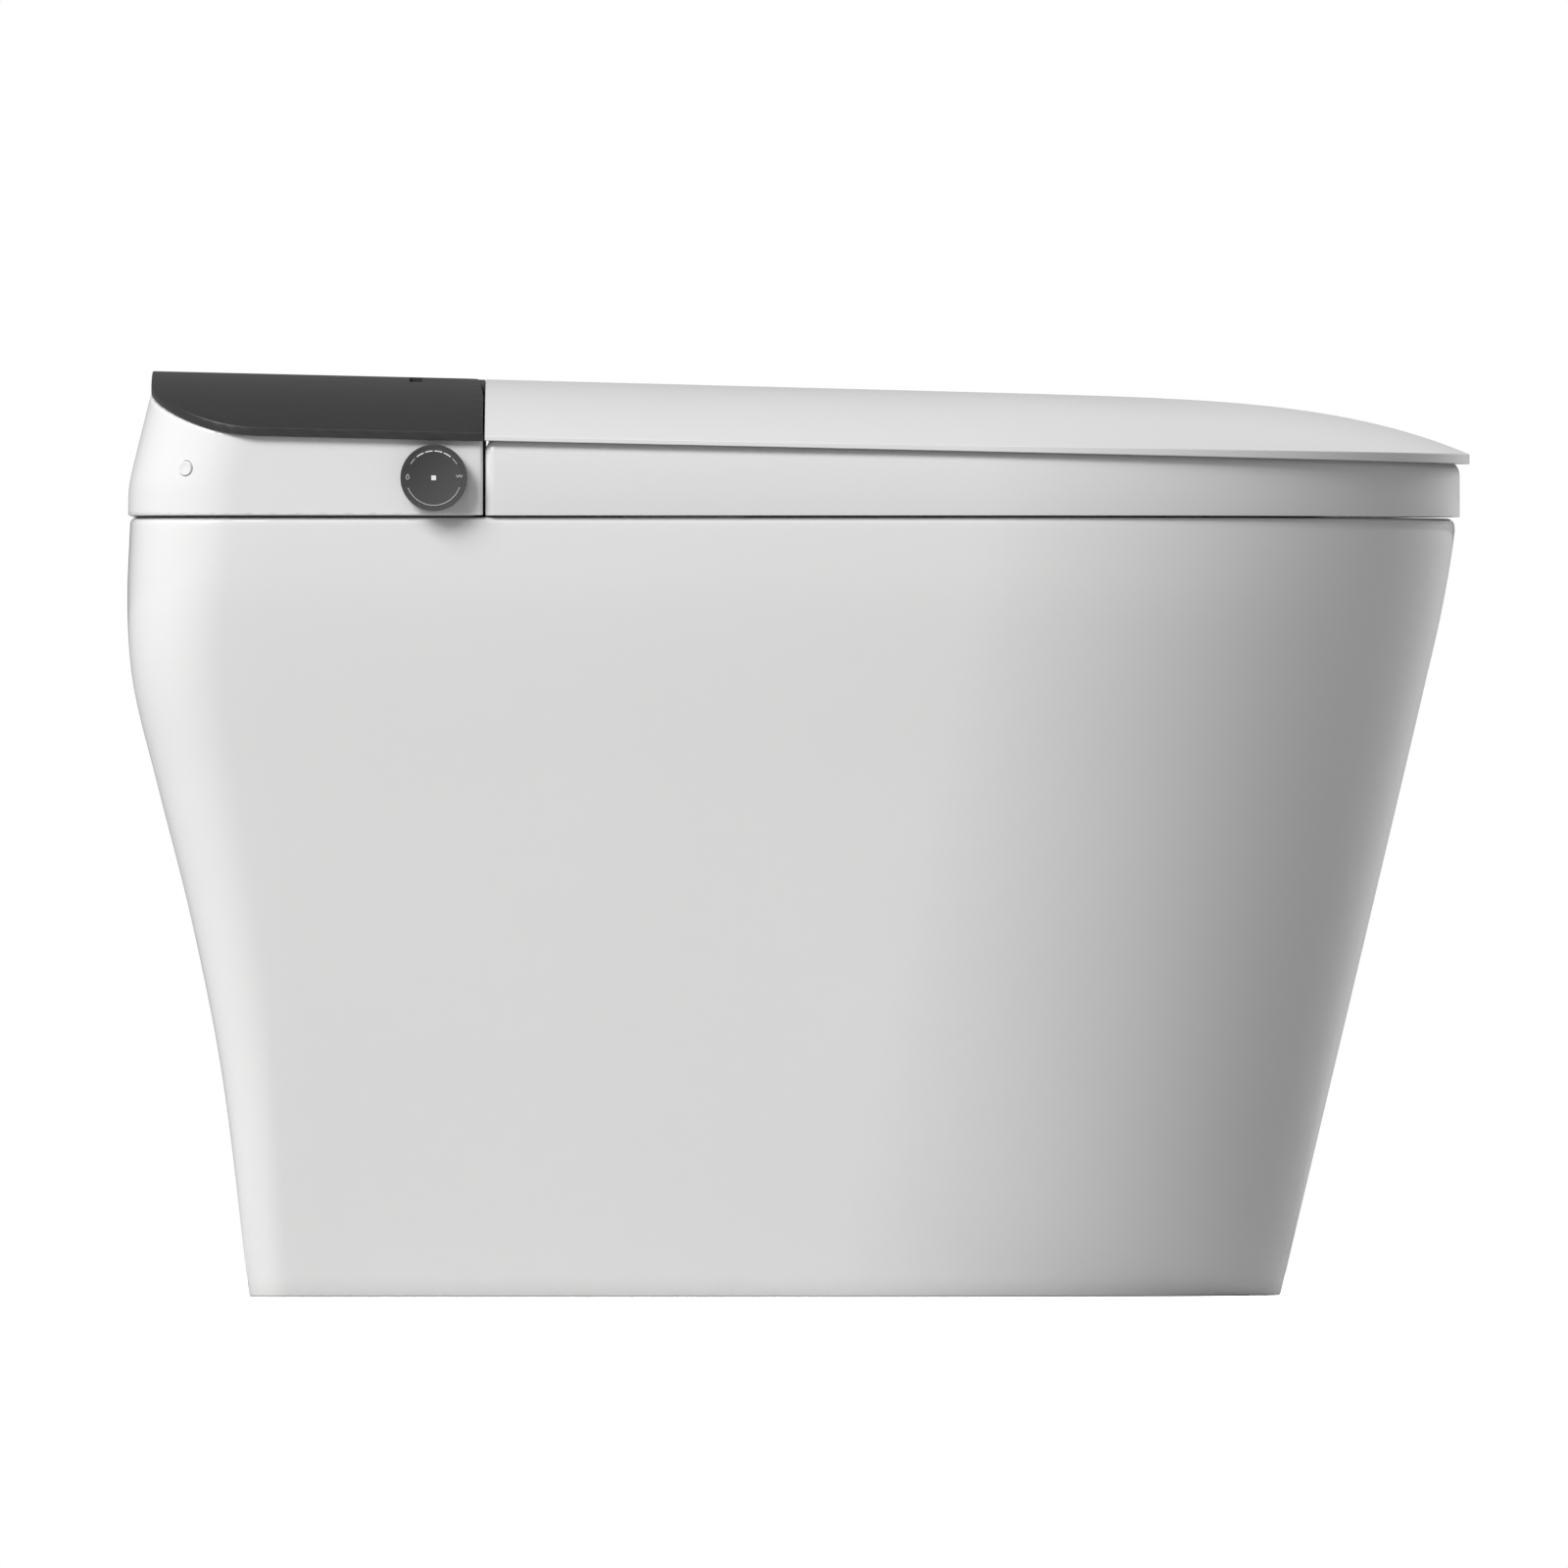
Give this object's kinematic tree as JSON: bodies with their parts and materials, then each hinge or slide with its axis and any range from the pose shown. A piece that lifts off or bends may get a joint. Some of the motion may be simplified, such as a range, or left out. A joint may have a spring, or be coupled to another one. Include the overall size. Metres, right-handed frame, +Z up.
{
  "type": "electric bidet toilet",
  "caption": "One-piece electric bidet toilet: skirted ceramic pan, rear wash and dry unit, heated seat, crowned lid and a side control dial.",
  "frame": {"origin": "on the floor, midway along the length, on the plane of symmetry", "axes": "+X to the front, +Y to the sitter's left, +Z up"},
  "size_m": [0.6868, 0.397, 0.4735],
  "materials": {
    "ceramic": "white glaze, high gloss",
    "gloss_white": "white moulded plastic, gloss",
    "satin_white": "white moulded plastic, satin",
    "dark_cover": "dark grey plastic, satin gloss",
    "dial_metal": "dark anodised and turned",
    "dial_black": "black gloss with light marks",
    "soft_grey": "soft grey elastomer",
    "black_rubber": "black rubber",
    "black_plastic": "black moulded plastic",
    "grey_plastic": "grey moulded plastic",
    "steel": "stainless steel",
    "brass": "plain brass",
    "board_green": "green circuit board",
    "lens": "clear diffusing plastic",
    "foil": "foil-faced heating mat"
  },
  "bodies": {
    "base": {"pan": "ceramic", "rear_housing": "gloss_white", "nozzle_hood": "gloss_white", "flush_spout": "satin_white", "inlet_valve": "satin_white", "top_cover": "dark_cover", "nozzle_hose": "soft_grey", "outlet_seal": "black_rubber", "flush_hose": "black_rubber", "deck_plug_right": "black_rubber", "deck_plug_left": "black_rubber", "cord_gland": "black_rubber", "dial_bezel": "black_plastic", "aux_switch": "black_plastic", "lid_damper": "black_plastic", "seat_damper": "black_plastic", "power_supply": "black_plastic", "deodoriser_filter": "black_plastic", "base_tray": "grey_plastic", "flush_valve": "grey_plastic", "nozzle_cradle": "grey_plastic", "dryer_housing": "grey_plastic", "deck_bolt_right": "steel", "deck_bolt_left": "steel", "lid_hinge_shaft": "steel", "seat_hinge_shaft": "steel", "hinge_bridge": "steel", "nozzle_feed_pipe": "steel", "nozzle_motor": "steel", "water_heater": "steel", "water_inlet": "brass", "control_board": "board_green", "dial_encoder": "board_green", "night_light_lens": "lens"},
    "seat": {"seat_shell": "gloss_white", "seat_base": "satin_white", "seat_heater": "foil", "seat_hinge_arm_right": "gloss_white", "seat_hinge_arm_left": "gloss_white", "seat_buffer_rear_right": "soft_grey", "seat_buffer_rear_left": "soft_grey", "seat_buffer_front_right": "soft_grey", "seat_buffer_front_left": "soft_grey"},
    "lid": {"lid_shell": "gloss_white", "lid_liner": "satin_white", "lid_hinge_ear_right": "dark_cover", "lid_hinge_ear_left": "dark_cover", "lid_buffer_rear_right": "soft_grey", "lid_buffer_rear_left": "soft_grey", "lid_buffer_front_right": "soft_grey", "lid_buffer_front_left": "soft_grey"},
    "dial_push": {"dial_face": "dial_black"},
    "dial_ring": {"dial_ring": "dial_metal"},
    "aux_button": {"aux_button": "gloss_white"},
    "nozzle": {"nozzle_tube": "steel", "nozzle_tip": "satin_white", "nozzle_rack": "satin_white"},
    "nozzle_pinion": {"nozzle_pinion": "grey_plastic"},
    "dryer_fan": {"dryer_fan": "black_plastic"},
    "dryer_flap": {"dryer_flap": "gloss_white"}
  },
  "joints": [
    {"name": "seat_lift", "type": "hinge", "parent": "base", "child": "seat", "pos_m": [-0.1845, 0, 0.45826], "axis": [0, -1, 0], "range_deg": [0, 95]},
    {"name": "lid_open", "type": "hinge", "parent": "seat", "child": "lid", "pos_m": [-0.1845, 0, 0.45826], "axis": [0, 1, 0], "range_deg": [-100, 0]},
    {"name": "dial_press", "type": "slide", "parent": "base", "child": "dial_push", "axis": [0, 1, 0], "range_m": [0, 0.0015], "stiffness_N_per_m": 1500, "springref_m": -0.0012},
    {"name": "dial_turn", "type": "hinge", "parent": "dial_push", "child": "dial_ring", "pos_m": [-0.1865, -0.197, 0.418], "axis": [0, -1, 0], "continuous": true},
    {"name": "aux_press", "type": "slide", "parent": "base", "child": "aux_button", "axis": [0.5, 0.866, 0], "range_m": [0, 0.0015], "stiffness_N_per_m": 800, "springref_m": -0.001},
    {"name": "nozzle_slide", "type": "slide", "parent": "base", "child": "nozzle", "axis": [0.9781, 0, -0.2079], "range_m": [0, 0.1]},
    {"name": "pinion_spin", "type": "hinge", "parent": "base", "child": "nozzle_pinion", "pos_m": [-0.19807, 0.0086, 0.42938], "axis": [0.2079, 0, 0.9781], "range_deg": [-2, 640]},
    {"name": "fan_spin", "type": "hinge", "parent": "base", "child": "dryer_fan", "pos_m": [-0.277, 0.124, 0.41], "axis": [0, 0, 1], "continuous": true},
    {"name": "flap_swing", "type": "hinge", "parent": "base", "child": "dryer_flap", "pos_m": [-0.0891, 0.039, 0.4128], "axis": [0, -1, 0], "range_deg": [0, 60]}
  ],
  "couplings": [
    {"joint": "pinion_spin", "follows": "nozzle_slide", "rad_per_m": 111.11}
  ]
}
